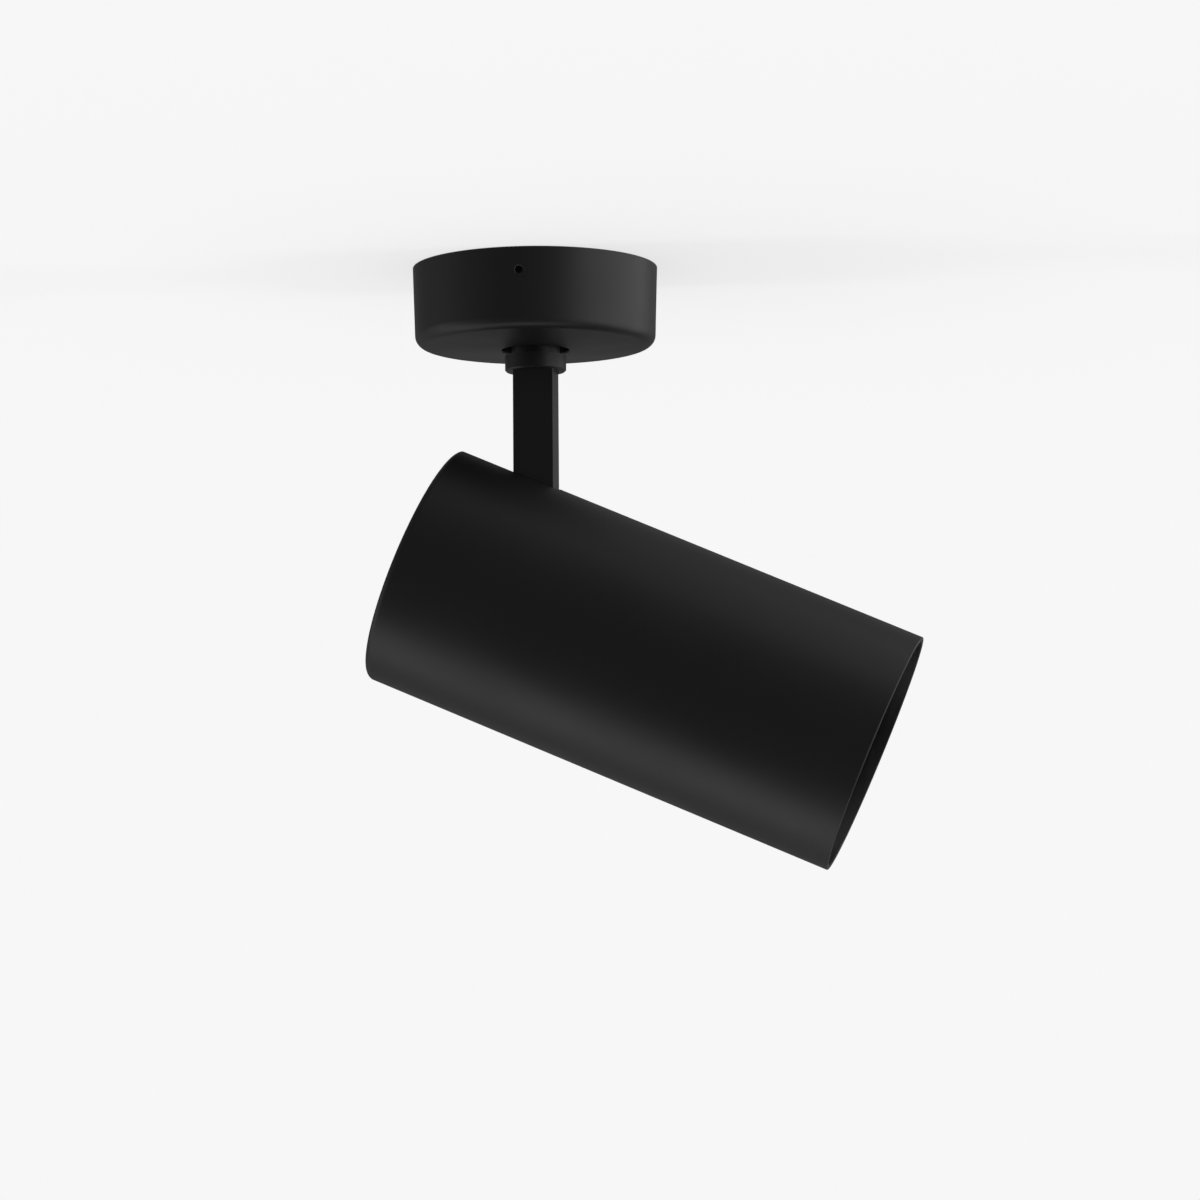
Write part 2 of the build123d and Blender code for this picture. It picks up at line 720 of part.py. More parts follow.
def make_heat_sink():
    sink = rod_x(sleeve_radius, disc_x, light_x)
    fins = Part()
    for i in range(sink_fin_count):
        z = (i - (sink_fin_count - 1) / 2) * sink_fin_pitch
        fins += block(disc_x - sink_fin_height, disc_x, -tube_radius, tube_radius,
                      z - sink_fin_thickness / 2, z + sink_fin_thickness / 2)
    sink += fins & rod_x(sleeve_radius - sink_fin_inset, disc_x - sink_fin_height, disc_x)
    sink += both_sides(block(post_x, disc_x, cheek_outer, tab_reach, -tab_half_height, tab_half_height))
    for y, z in post_spots():
        sink -= Pos(0, y, z) * rod_x(m3[0] + thread_gap, post_x - 1, post_x + post_grip + tap_extra)
    tapped = rod_x(m3[0] + thread_gap, light_x - screw_grip - tap_extra, light_x + 1)
    for spot in sleeve_spots():
        sink -= spot * tapped
    for side in (-1, 1):
        sink -= Pos(0, side * holder_screw_offset, 0) * tapped
    return sink - Pos(0, 0, lead_height) * rod_x(lead_hole_radius, post_x, light_x + 1)


def make_heat_sink_screws():
    screw = Rot(0, -90, 0) * pan_screw(m3, sheet + post_grip)
    return Compound(children=[Pos(tab_x, y, z) * screw for y, z in post_spots()])


def square_x(side, start, end):
    return block(start, end, -side / 2, side / 2, -side / 2, side / 2)


def make_led_holder():
    holder = rod_x(holder_radius, light_x, holder_end)
    holder = chamfer(holder.edges().group_by(Axis.X)[-1], holder_edge)
    holder -= square_x(board_side + 2 * slip, light_x - 1, board_x + board_thickness)
    holder -= rod_x(holder_window, light_x, holder_end + 1)
    hole = Rot(0, 90, 0) * flat_screw_hole(m3, holder_thickness + screw_grip)
    for side in (-1, 1):
        holder -= Pos(holder_end, side * holder_screw_offset, 0) * hole
    return holder


def make_holder_screws():
    screw = Rot(0, 90, 0) * flat_screw(m3, holder_thickness + screw_grip)
    return Compound(children=[Pos(holder_end, side * holder_screw_offset, 0) * screw for side in (-1, 1)])


def make_reflector():
    """A parabola of revolution, drawn as the quadratic curve between its two rims."""
    start, end = holder_end, reflector_end
    r0, r1 = reflector_rear_radius, reflector_front_radius
    gain = (r1 ** 2 - r0 ** 2) / (end - start)
    crown = start + ((r0 + r1) / 2 - r0) * 2 * r0 / gain
    w = reflector_wall
    inner = Bezier((start, r0), (crown, (r0 + r1) / 2), (end, r1))
    outer = Bezier((end - reflector_rim, r1 + w), (crown, (r0 + r1) / 2 + w), (start, r0 + w))
    rim = sleeve_bore + w - slip
    front = Polyline((end, r1), (end, rim), (end - reflector_rim, rim), (end - reflector_rim, r1 + w))
    section = make_face([inner, front, outer, Line((start, r0 + w), (start, r0))])
    return revolve(Plane.XZ * section, Axis.X)


def make_optic_sleeve():
    sleeve = ring_x(sleeve_radius, sleeve_bore, light_x, sleeve_end + sheet)
    sleeve += ring_x(sleeve_radius, sleeve_flange_bore, light_x, light_x + sleeve_flange)
    seat = reflector_end - reflector_rim
    sleeve -= rod_x(sleeve_bore + reflector_wall, seat, sleeve_end + sheet + 1)
    sleeve -= rod_x(sleeve_radius - sleeve_rim_wall, gasket_x, sleeve_end + sheet + 1)
    for spot in sleeve_spots():
        sleeve -= spot * rod_x(m3[0] + thread_gap, light_x - 1, light_x + sleeve_flange + 1)
    return sleeve


def make_sleeve_screws():
    screw = Rot(0, 90, 0) * pan_screw(m3, sleeve_flange + screw_grip)
    return Compound(children=[spot * Pos(light_x + sleeve_flange, 0, 0) * screw for spot in sleeve_spots()])


def make_baffle():
    """A black ring of steps that widens towards the mouth of the tube."""
    rim = sleeve_end + sheet
    steps = [(glass_end, baffle_lip_radius)]
    length = rim + baffle_length - glass_end
    for i in range(baffle_steps):
        x = glass_end + length * (i + 1) / baffle_steps
        radius = baffle_lip_radius + (baffle_front_radius - baffle_lip_radius) * (i + 1) / baffle_steps
        steps += [(x, steps[-1][1]), (x, radius)]
    end = steps[-2][0]
    front_edge = baffle_front_radius + baffle_front_edge
    section = steps[:-1] + [(end, front_edge), (rim + baffle_flange, sleeve_radius),
                            (rim, sleeve_radius), (rim, glass_radius), (glass_end, glass_radius)]
    return turned(section, Axis.X)


# ---------------------------------------------------------------- write every node
os.makedirs("parts", exist_ok=True)

# ceiling base
save("canopy", make_canopy())
save("canopy_grub_screws", make_grub_screws())
save("ceiling_plate", make_ceiling_plate())
save("clamp_brackets", make_clamp_brackets())
save("cable_grommet", make_grommet())
save("swivel_bridge", make_bridge())
save("bridge_screws", make_bridge_screws())
save("swivel_bush", make_swivel_bush())
save("friction_washer", make_friction_washer())
save("terminal_block", make_terminal_block())
save("terminal_screws", make_terminal_screws())
save("terminal_block_screw", make_block_screw())
save("earth_screw", make_earth_screw())
save("canopy_leads", make_canopy_leads())

# swivel and arm
save("swivel_hub", make_hub())
save("stop_pin", make_stop_pin())
save("wave_washer", make_wave_washer())
save("swivel_nut", make_nut(nut_z))
save("lock_nut", make_nut(nut_z + nut_height))
save("arm_bar", make_arm_bar())
save("arm_screw", arm_screw_place() * flat_screw(m3, arm_screw_length()))
save("arm_end_block", make_end_block(), pivot_place)
save("pivot_screws", make_pivot_screws(), pivot_place)
save("pivot_spring_washers", make_spring_washers(), pivot_place)
save("supply_cable", make_supply_cable())

# lamp head
save("lamp_tube", make_lamp_tube(), head_place)
save("chassis", make_chassis(), head_place)
save("chassis_screws", make_chassis_screws(), head_place)
save("pivot_bush_far", make_pivot_bush(), head_place)
save("pivot_bush_near", mirror(make_pivot_bush(), Plane.XZ), head_place)
save("led_driver", make_driver(), head_place)
save("driver_screws", make_driver_screws(), head_place)
save("lamp_lead", make_lamp_lead(), head_place)
save("led_leads", make_led_leads(), head_place)
save("heat_sink", make_heat_sink(), head_place)
save("heat_sink_screws", make_heat_sink_screws(), head_place)
save("thermal_pad", square_x(board_side, light_x, board_x), head_place)
save("led_board", square_x(board_side, board_x, board_x + board_thickness), head_place)
save("led_emitter", rod_x(emitter_radius, board_x + board_thickness,
                          board_x + board_thickness + emitter_thickness), head_place)
save("led_holder", make_led_holder(), head_place)
save("led_holder_screws", make_holder_screws(), head_place)
save("reflector", make_reflector(), head_place)
save("optic_sleeve", make_optic_sleeve(), head_place)
save("optic_sleeve_screws", make_sleeve_screws(), head_place)
save("glass_gasket", ring_x(glass_radius, reflector_front_radius, gasket_x, glass_x), head_place)
save("front_glass", rod_x(glass_radius, glass_x, glass_end), head_place)
save("glare_baffle", make_baffle(), head_place)
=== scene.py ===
"""Surface mounted ceiling spotlight: finishes, finer pieces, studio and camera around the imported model.

Lengths are metres in the model's frame: the origin is the centre of the canopy's ceiling face and +Z is
up. Sizes that a maker would read off a drawing are written in millimetres times MM.
"""

import bmesh
import bpy
import json
from math import atan2, cos, hypot, pi, radians, sin, sqrt, tan
from mathutils import Matrix, Vector


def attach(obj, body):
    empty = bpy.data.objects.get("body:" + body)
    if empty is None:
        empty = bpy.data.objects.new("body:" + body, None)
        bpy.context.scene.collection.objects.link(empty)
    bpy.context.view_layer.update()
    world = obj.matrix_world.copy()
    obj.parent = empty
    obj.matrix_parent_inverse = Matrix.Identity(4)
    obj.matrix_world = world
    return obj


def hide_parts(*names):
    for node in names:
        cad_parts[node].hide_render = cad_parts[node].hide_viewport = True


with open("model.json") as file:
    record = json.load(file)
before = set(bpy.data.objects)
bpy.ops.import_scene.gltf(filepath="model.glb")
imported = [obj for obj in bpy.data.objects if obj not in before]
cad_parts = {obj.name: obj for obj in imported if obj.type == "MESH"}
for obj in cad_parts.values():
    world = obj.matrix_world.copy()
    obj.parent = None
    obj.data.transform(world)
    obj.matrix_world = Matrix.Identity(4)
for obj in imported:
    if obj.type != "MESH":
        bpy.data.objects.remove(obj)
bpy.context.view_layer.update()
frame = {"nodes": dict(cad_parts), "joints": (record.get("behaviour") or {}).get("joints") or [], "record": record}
MM = 0.001


# ---------------------------------------------------------------- camera
# Its place, angles and lens come from a least-squares fit to the outlines in the photo.
CAMERA_PLACE = Vector((0.1930, -1.4697, -0.2769))
CAMERA_YAW = radians(-6.50)
CAMERA_PITCH = radians(5.455)
CAMERA_ROLL = radians(-0.44)
CAMERA_LENS = 110.8            # millimetres, behind a sensor of this width
CAMERA_SENSOR = 36
CAMERA_REACH = 100


def make_camera():
    level = Vector((sin(CAMERA_YAW), cos(CAMERA_YAW), 0))
    forward = level * cos(CAMERA_PITCH) + Vector((0, 0, sin(CAMERA_PITCH)))
    right = Vector((cos(CAMERA_YAW), -sin(CAMERA_YAW), 0))
    up = right.cross(forward)
    rolled_right = right * cos(CAMERA_ROLL) + up * sin(CAMERA_ROLL)
    rolled_up = up * cos(CAMERA_ROLL) - right * sin(CAMERA_ROLL)
    turn = Matrix((rolled_right, rolled_up, -forward)).transposed().to_4x4()
    data = bpy.data.cameras.new("camera")
    data.lens = CAMERA_LENS
    data.sensor_width = CAMERA_SENSOR
    data.clip_end = CAMERA_REACH
    camera = bpy.data.objects.new("camera", data)
    camera.matrix_world = Matrix.Translation(CAMERA_PLACE) @ turn
    bpy.context.scene.collection.objects.link(camera)
    bpy.context.scene.camera = camera


# ---------------------------------------------------------------- node helpers
def set_inputs(node, values):
    for key, value in values.items():
        node.inputs[key].default_value = value


def put(tree, kind, values=None, **settings):
    """Add a node, set its properties and the default values of its inputs."""
    node = tree.nodes.new(kind)
    for key, value in settings.items():
        setattr(node, key, value)
    set_inputs(node, values or {})
    return node


def wire(tree, *pairs):
    for source, target in pairs:
        tree.links.new(source, target)


def feed(tree, socket, value):
    """Give an input a number or a colour, or wire an output to it."""
    if isinstance(value, bpy.types.NodeSocket):
        tree.links.new(value, socket)
    else:
        socket.default_value = value


def math_node(tree, operation, first, second):
    node = put(tree, "ShaderNodeMath", operation=operation)
    for socket, value in zip(node.inputs, (first, second)):
        feed(tree, socket, value)
    return node.outputs[0]


def object_place(tree):
    return put(tree, "ShaderNodeTexCoord").outputs["Object"]


def new_group(name, inputs, outputs):
    """A shader node group of numbers: its inputs with their default values, and the names of its outputs."""
    tree = bpy.data.node_groups.new(name, "ShaderNodeTree")
    for label, value in inputs.items():
        socket = tree.interface.new_socket(label, in_out="INPUT", socket_type="NodeSocketFloat")
        socket.default_value = value
    for label in outputs:
        tree.interface.new_socket(label, in_out="OUTPUT", socket_type="NodeSocketFloat")
    return tree, put(tree, "NodeGroupInput"), put(tree, "NodeGroupOutput")


def noise(tree, vector, scale, detail=2.0, roughness=0.5):
    node = put(tree, "ShaderNodeTexNoise", {"Detail": detail, "Roughness": roughness})
    wire(tree, (vector, node.inputs["Vector"]))
    feed(tree, node.inputs["Scale"], scale)
    return node.outputs["Fac"]


# ---------------------------------------------------------------- effects that several finishes share
PER_MM = 1 / MM          # scale of a pattern whose size is 1 mm
PATCH_SCALE = 28.0       # slow patches of tone and gloss, about 36 mm across
BLOTCH_SCALE = 90.0      # blotches on metal, about 11 mm across
HIGHLIGHT_BREAK_SCALE = 600.0       # breaks in the painted edge highlight, about 1.7 mm long


def make_grain_group():
    """Fine pimples over slow waves, as on powder coat and eroded mouldings. Sizes are in millimetres."""
    tree, given, out = new_group("surface_grain", {"Grain Size": 0.3, "Wave Size": 1.5, "Wave Share": 0.4},
                                 ("Height", "Patches"))
    place = object_place(tree)
    fine = noise(tree, place, math_node(tree, "DIVIDE", PER_MM, given.outputs["Grain Size"]), 2.0, 0.6)
    wave = noise(tree, place, math_node(tree, "DIVIDE", PER_MM, given.outputs["Wave Size"]), 1.0)
    patches = noise(tree, place, PATCH_SCALE, 3.0)
    share = given.outputs["Wave Share"]
    fine_part = math_node(tree, "MULTIPLY", fine, math_node(tree, "SUBTRACT", 1.0, share))
    height = math_node(tree, "ADD", fine_part, math_node(tree, "MULTIPLY", wave, share))
    wire(tree, (height, out.inputs["Height"]), (patches, out.inputs["Patches"]))
    return tree


def make_streak_group():
    """Fine drawn or turned lines: noise that is stretched along one axis of the piece."""
    tree, given, out = new_group("drawn_lines", {"Line Width": 0.2, "Stretch X": 1.0, "Stretch Y": 1.0,
                                                 "Stretch Z": 1.0}, ("Height", "Blotches"))
    place = object_place(tree)
    squeeze = put(tree, "ShaderNodeCombineXYZ")
    for axis in "XYZ":
        wire(tree, (math_node(tree, "DIVIDE", 1.0, given.outputs["Stretch " + axis]), squeeze.inputs[axis]))
    stretched = put(tree, "ShaderNodeVectorMath", operation="MULTIPLY")
    wire(tree, (place, stretched.inputs[0]), (squeeze.outputs[0], stretched.inputs[1]))
    scale = math_node(tree, "DIVIDE", PER_MM, given.outputs["Line Width"])
    lines = noise(tree, stretched.outputs[0], scale, 3.0, 0.65)
    blotches = noise(tree, place, BLOTCH_SCALE, 3.0)
    wire(tree, (lines, out.inputs["Height"]), (blotches, out.inputs["Blotches"]))
    return tree


def make_edge_highlight_group():
    """A mask of the edges within a radius in millimetres for a painted highlight, broken up a little by noise."""
    # This mask paints a highlight into the base colour along edges; it is not wear.
    tree, given, out = new_group("painted_edge_highlight", {"Radius": 0.4, "Gain": 3.0}, ("Mask",))
    size = math_node(tree, "MULTIPLY", given.outputs["Radius"], MM)
    rounded = put(tree, "ShaderNodeBevel", samples=4)
    shape = put(tree, "ShaderNodeNewGeometry")
    wire(tree, (size, rounded.inputs["Radius"]))
    match = put(tree, "ShaderNodeVectorMath", operation="DOT_PRODUCT")
    wire(tree, (rounded.outputs[0], match.inputs[0]), (shape.outputs["True Normal"], match.inputs[1]))
    away = math_node(tree, "SUBTRACT", 1.0, match.outputs["Value"])
    broken = math_node(tree, "ADD", 0.5, noise(tree, object_place(tree), HIGHLIGHT_BREAK_SCALE, 2.0))
    strong = math_node(tree, "MULTIPLY", math_node(tree, "MULTIPLY", away, given.outputs["Gain"]), broken)
    wire(tree, (math_node(tree, "MINIMUM", strong, 1.0), out.inputs["Mask"]))
    return tree


GRAIN = make_grain_group()
STREAKS = make_streak_group()
EDGES = make_edge_highlight_group()


def use_group(tree, group, values):
    node = put(tree, "ShaderNodeGroup", node_tree=group)
    set_inputs(node, values)
    return node


def spread(tree, value, low, high, start=0.3, end=0.7):
    """Stretch a noise value to the range from low to high."""
    limits = {"From Min": start, "From Max": end, "To Min": low, "To Max": high}
    node = put(tree, "ShaderNodeMapRange", limits)
    wire(tree, (value, node.inputs["Value"]))
    return node.outputs["Result"]


def mix_colours(tree, factor, first, second):
    """Mix two colours, each given as RGBA or as an output."""
    node = put(tree, "ShaderNodeMix", data_type="RGBA")
    first_socket, second_socket = [socket for socket in node.inputs if socket.type == "RGBA"]
    wire(tree, (factor, node.inputs[0]))
    feed(tree, first_socket, first)
    feed(tree, second_socket, second)
    return next(socket for socket in node.outputs if socket.type == "RGBA")


def shade(colour, factor):
    return (*(min(1.0, part * factor) for part in colour), 1)


def new_material(name, **sockets):
    """A material with its Principled shader, whose plain sockets are named with _ for each space."""
    material = bpy.data.materials.new(name)
    material.use_nodes = True
    tree = material.node_tree
    shader = tree.nodes["Principled BSDF"]
    set_inputs(shader, {key.replace("_", " "): value for key, value in sockets.items()})
    return material, tree, shader


def dress(tree, shader, base, gloss, height, depth):
    """Wire a colour, a roughness and a relief of this depth in millimetres to the shader."""
    bump = put(tree, "ShaderNodeBump", {"Distance": depth * MM})
    wire(tree, (base, shader.inputs["Base Color"]), (gloss, shader.inputs["Roughness"]),
         (height, bump.inputs["Height"]), (bump.outputs[0], shader.inputs["Normal"]))


# ---------------------------------------------------------------- finishes
def grained(name, colour, roughness, grain=0.3, wave=1.5, share=0.4, depth=0.01, swing=0.04, tone=0.12,
            edge=None, edge_radius=0.4, **sockets):
    """Coated, moulded or rubber surface: pimpled, with slow patches of tone and gloss and a painted highlight
    along its edges.
    """
    material, tree, shader = new_material(name, **sockets)
    surface = use_group(tree, GRAIN, {"Grain Size": grain, "Wave Size": wave, "Wave Share": share})
    patches = surface.outputs["Patches"]
    base = mix_colours(tree, patches, shade(colour, 1 - tone), shade(colour, 1 + tone))
    # edge is the colour of a painted highlight along the edges, mixed into the base colour
    if edge:
        edge_highlight = use_group(tree, EDGES, {"Radius": edge_radius})
        base = mix_colours(tree, edge_highlight.outputs["Mask"], base, (*edge, 1))
    gloss = spread(tree, patches, roughness + swing, roughness - swing)
    dress(tree, shader, base, gloss, surface.outputs["Height"], depth)
    return material


def drawn(name, colour, roughness, stretch=(1, 1, 1), line=0.15, depth=0.004, swing=0.06, tone=0.08):
    """Metal with drawn, turned or plated lines, stretched along the axes of the frame."""
    material, tree, shader = new_material(name, Metallic=1.0)
    stretches = {"Stretch " + axis: share for axis, share in zip("XYZ", stretch)}
    surface = use_group(tree, STREAKS, {"Line Width": line, **stretches})
    lines = surface.outputs["Height"]
    base = mix_colours(tree, surface.outputs["Blotches"], shade(colour, 1 - tone), shade(colour, 1 + tone))
    dress(tree, shader, base, spread(tree, lines, roughness - swing, roughness + swing), lines, depth)
    return material


def make_glass(name):
    material, tree, shader = new_material(name, Transmission_Weight=1.0, IOR=1.46,
                                          Base_Color=(0.97, 0.985, 0.98, 1))
    surface = use_group(tree, GRAIN, {"Grain Size": 6.0, "Wave Size": 25.0, "Wave Share": 0.7})
    wire(tree, (spread(tree, surface.outputs["Patches"], 0.0, 0.02), shader.inputs["Roughness"]))
    return material


BLACK = (0.0048, 0.0048, 0.0050)
CORE_GRAIN = dict(roughness=0.42, grain=0.4, depth=0.004)
GRAINED = {
    # the edge colours of the two black coats are painted highlights along their edges
    "black_powder_coat": dict(colour=BLACK, roughness=0.45, grain=0.35, wave=1.6, share=0.5, depth=0.006,
                              edge=(0.024, 0.024, 0.025), edge_radius=0.35),
    "black_satin_paint": dict(colour=BLACK, roughness=0.42, grain=0.25, wave=1.2, share=0.5, depth=0.004,
                              edge=(0.016, 0.016, 0.0165), edge_radius=0.3),
    "black_painted_sheet": dict(colour=(0.010, 0.010, 0.011), roughness=0.55, depth=0.008),
    "black_anodised_aluminium": dict(colour=(0.012, 0.012, 0.013), roughness=0.42, grain=0.2, depth=0.003,
                                     Specular_IOR_Level=0.6),
    "nylon": dict(colour=(0.76, 0.73, 0.66), roughness=0.45, grain=0.5, depth=0.006, tone=0.05),
    "black_plastic": dict(colour=(0.0050, 0.0050, 0.0052), roughness=0.52, grain=0.18, wave=0.9, depth=0.010,
                          Specular_IOR_Level=0.30),
    "white_plastic": dict(colour=(0.80, 0.80, 0.77), roughness=0.42, grain=0.2, depth=0.006, tone=0.03),
    "black_rubber": dict(colour=(0.012, 0.012, 0.012), roughness=0.65, grain=0.15, depth=0.008),
    "grey_silicone": dict(colour=(0.36, 0.36, 0.36), roughness=0.55, grain=0.3, depth=0.004, tone=0.06),
    "grey_thermal_pad": dict(colour=(0.30, 0.32, 0.36), roughness=0.75, grain=0.12, depth=0.01),
    "white_ceramic": dict(colour=(0.84, 0.84, 0.81), roughness=0.35, grain=0.1, depth=0.003, tone=0.03),
    "yellow_phosphor": dict(colour=(0.80, 0.58, 0.08), roughness=0.40, grain=0.25, depth=0.004),
    "core_insulation": dict(colour=(0.20, 0.08, 0.035), **CORE_GRAIN),
    "black_cable_jacket": dict(colour=(0.014, 0.014, 0.014), roughness=0.55, grain=0.3, depth=0.01),
}
DRAWN = {
    "black_oxide_steel": dict(colour=(0.035, 0.035, 0.038), roughness=0.42),
    "zinc_plated_steel": dict(colour=(0.60, 0.62, 0.65), roughness=0.30, stretch=(14, 1, 1)),
    "spring_steel": dict(colour=(0.42, 0.42, 0.43), roughness=0.28, stretch=(1, 8, 1)),
    "bare_aluminium": dict(colour=(0.74, 0.75, 0.77), roughness=0.32, stretch=(1, 1, 10)),
    "bright_reflector": dict(colour=(0.86, 0.87, 0.88), roughness=0.10, line=0.8, depth=0.001, swing=0.03,
                             tone=0.02),
    "brass": dict(colour=(0.72, 0.52, 0.22), roughness=0.28, stretch=(1, 1, 6)),
}


def make_finishes():
    """One material for each material slot of the record."""
    made = {name: grained(name, **look) for name, look in GRAINED.items()}
    made |= {name: drawn(name, **look) for name, look in DRAWN.items()}
    made["clear_glass"] = make_glass("clear_glass")
    return made


# ---------------------------------------------------------------- places
REST_TILT = radians(23.3)      # lamp axis below the horizontal
TILT_AXIS = next(Vector(joint["pos_m"]) for joint in frame["joints"] if joint["name"] == "tilt")
UPRIGHT = Matrix.Identity(4)
HEAD = Matrix.Translation(TILT_AXIS) @ Matrix.Rotation(REST_TILT, 4, "Y")
BODY_OF = {node: body for body, nodes in frame["record"]["behaviour"]["bodies"].items() for node in nodes}
SLOT_OF = {part["node"]: part["material_slot"] for part in frame["record"]["subparts"]}
TOUCH = 2e-6                   # points closer than this are one


def aim(place, direction):
    """The same place, turned so that its Z runs in a direction given in its own axes."""
    return place @ Vector(direction).to_track_quat("Z", "Y").to_matrix().to_4x4()


BORE = aim(HEAD, (1, 0, 0))    # Z runs along the lamp tube towards the light


def islands(node, place=UPRIGHT):
    """(lowest corner, highest corner) of each separate solid of a CAD node, in the axes of a place."""
    mesh = bmesh.new()
    mesh.from_mesh(frame["nodes"][node].data)
    bmesh.ops.remove_doubles(mesh, verts=mesh.verts, dist=TOUCH)
    mesh.transform(place.inverted())
    boxes, waiting = [], set(mesh.verts)
    while waiting:
        reached = [waiting.pop()]
        for vert in reached:
            near = {edge.other_vert(vert) for edge in vert.link_edges} & waiting
            waiting -= near
            reached.extend(near)
        boxes.append([Vector([pick(vert.co[i] for vert in reached) for i in range(3)])
                      for pick in (min, max)])
    mesh.free()
    return sorted(boxes, key=lambda box: tuple(round(value, 5) for value in box[0]))


def span(node, place=UPRIGHT):
    """(lowest corner, highest corner) of a whole CAD node, in the axes of a place."""
    boxes = islands(node, place)
    return [Vector([pick(box[corner][i] for box in boxes) for i in range(3)])
            for corner, pick in ((0, min), (1, max))]


# ---------------------------------------------------------------- mesh helpers
SHARP = 32                     # an edge shows sharp from this angle in degrees
TURN_STEPS = 96


def link_mesh(name, mesh):
    data = bpy.data.meshes.new(name)
    mesh.to_mesh(data)
    mesh.free()
    piece = bpy.data.objects.new(name, data)
    bpy.context.scene.collection.objects.link(piece)
    return piece


def stand_for(node, mesh, name=None, finish=None, sharp=SHARP):
    """Show a finished mesh in place of a CAD node, on that node's body and in its finish."""
    piece = link_mesh(name or node + "_shown", mesh)
    piece.data.shade_smooth()
    piece.data.set_sharp_from_angle(angle=radians(sharp))
    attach(piece, BODY_OF[node])
    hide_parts(node)
    piece.data.materials.append(finish or finishes[SLOT_OF[node]])


def bevel(mesh, edges, width, segments):
    bmesh.ops.bevel(mesh, geom=edges, offset=width, offset_type="OFFSET", segments=segments, profile=0.5,
                    affect="EDGES", material=-1, clamp_overlap=True)


def turn(profile, rounds=(), steps=TURN_STEPS, segments=4):
    """Spin a profile of (radius, height) points about Z. It is a loop, unless it starts or ends on the axis.
    Rounds are (index of a point, radius of its rounding)."""
    mesh = bmesh.new()
    points = [mesh.verts.new((radius, 0, height)) for radius, height in profile]
    runs = list(zip(points, points[1:]))
    if profile[0][0] > 0 and profile[-1][0] > 0:
        runs.append((points[-1], points[0]))
    edges = [mesh.edges.new(run) for run in runs]
    bmesh.ops.spin(mesh, geom=points + edges, axis=(0, 0, 1), angle=2 * pi, steps=steps, use_merge=True)
    bmesh.ops.remove_doubles(mesh, verts=mesh.verts, dist=TOUCH / 4)
    bmesh.ops.recalc_face_normals(mesh, faces=mesh.faces)
    for index, width in rounds:
        radius, height = profile[index]
        on_ring = {vert for vert in mesh.verts
                   if abs(hypot(vert.co.x, vert.co.y) - radius) < TOUCH and abs(vert.co.z - height) < TOUCH}
        bevel(mesh, [edge for edge in mesh.edges if on_ring.issuperset(edge.verts)], width, segments)
    return mesh


def of_kind(items, kind):
    return [item for item in items if isinstance(item, kind)]


def repeat(mesh, places):
    """Copies of a mesh at each place, as one mesh."""
    data = bpy.data.meshes.new("pattern")
    mesh.to_mesh(data)
    mesh.clear()
    for place in places:
        copy = data.copy()
        copy.transform(place)
        mesh.from_mesh(copy)
        bpy.data.meshes.remove(copy)
    bpy.data.meshes.remove(data)
    return mesh


# ---------------------------------------------------------------- screws, nuts and washers
M3 = (1.5 * MM, 2.75 * MM, 2.2 * MM)     # shank radius, head radius, head height
M4 = (2.0 * MM, 3.9 * MM, 2.6 * MM)
SCREW_STEPS = 48
TIP = 0.4 * MM                           # chamfer at the end of a shank
SOCKET_WIDTH = 2.1                       # hexagon socket across its flats, as a share of the shank's radius
SOCKET_ROOM = 0.66                       # inner edge of a head's face, as a share of the socket's width
SOCKET_DEPTH = 0.6                       # share of a pan head's height, or of a flat screw's shank radius
NUT_BORE = 5.05 * MM
NUT_EDGE = 0.5 * MM


def shank_end(radius, low):
    return [(radius, low + TIP), (radius - TIP, low), (0, low)]


def add_socket(mesh, across, top, depth):
    """Close the open ring on top of a turned head with a hexagon socket."""
    ring = [edge for edge in mesh.edges if edge.is_boundary]
    verts = bmesh.ops.create_circle(mesh, cap_ends=True, segments=6, radius=across / sqrt(3),
                                    matrix=Matrix.Translation((0, 0, top - depth)))["verts"]
    floor = {edge for vert in verts for edge in vert.link_edges}
    bmesh.ops.subdivide_edges(mesh, edges=list(floor), cuts=SCREW_STEPS // 6 - 1)
    foot = [edge for edge in mesh.edges if edge.is_boundary and edge not in ring]
    walls = bmesh.ops.extrude_edge_only(mesh, edges=foot)["geom"]
    bmesh.ops.translate(mesh, verts=of_kind(walls, bmesh.types.BMVert), vec=(0, 0, depth))
    mouth = [edge for edge in of_kind(walls, bmesh.types.BMEdge) if edge.is_boundary]
    bmesh.ops.bridge_loops(mesh, edges=ring + mouth)
    bmesh.ops.recalc_face_normals(mesh, faces=mesh.faces)
    return mesh


def open_turn(profile, rounds=(), segments=4):
    """A turned head and shank that is left open inside the first point of its profile, for a socket."""
    mesh = turn([(0, profile[0][1] + TIP), *profile], [(index + 1, width) for index, width in rounds],
                SCREW_STEPS, segments)
    lid = [face for face in mesh.faces if any(vert.co.z > profile[0][1] + TOUCH for vert in face.verts)]
    bmesh.ops.delete(mesh, geom=lid, context="FACES")
    return mesh


def pan_screw(size, length):
    """Head on top of Z = 0, with a shank that ends at -length."""
    shank, head, height = size
    across, crown, foot = SOCKET_WIDTH * shank, 0.45 * height, 0.1 * height
    mesh = open_turn([(SOCKET_ROOM * across, height), (head, height), (head, 0), (shank, 0),
                      *shank_end(shank, -length)], [(1, crown), (2, foot)])
    return add_socket(mesh, across, height, SOCKET_DEPTH * height)


def flat_screw(size, length):
    """Countersunk head whose face is at Z = 0, with a shank that ends at -length."""
    shank, head, _ = size
    across, edge = SOCKET_WIDTH * shank, 0.12 * MM
    mesh = open_turn([(SOCKET_ROOM * across, 0), (head, 0), (shank, shank - head),
                      *shank_end(shank, -length)], [(1, edge)], 2)
    return add_socket(mesh, across, 0, SOCKET_DEPTH * shank)


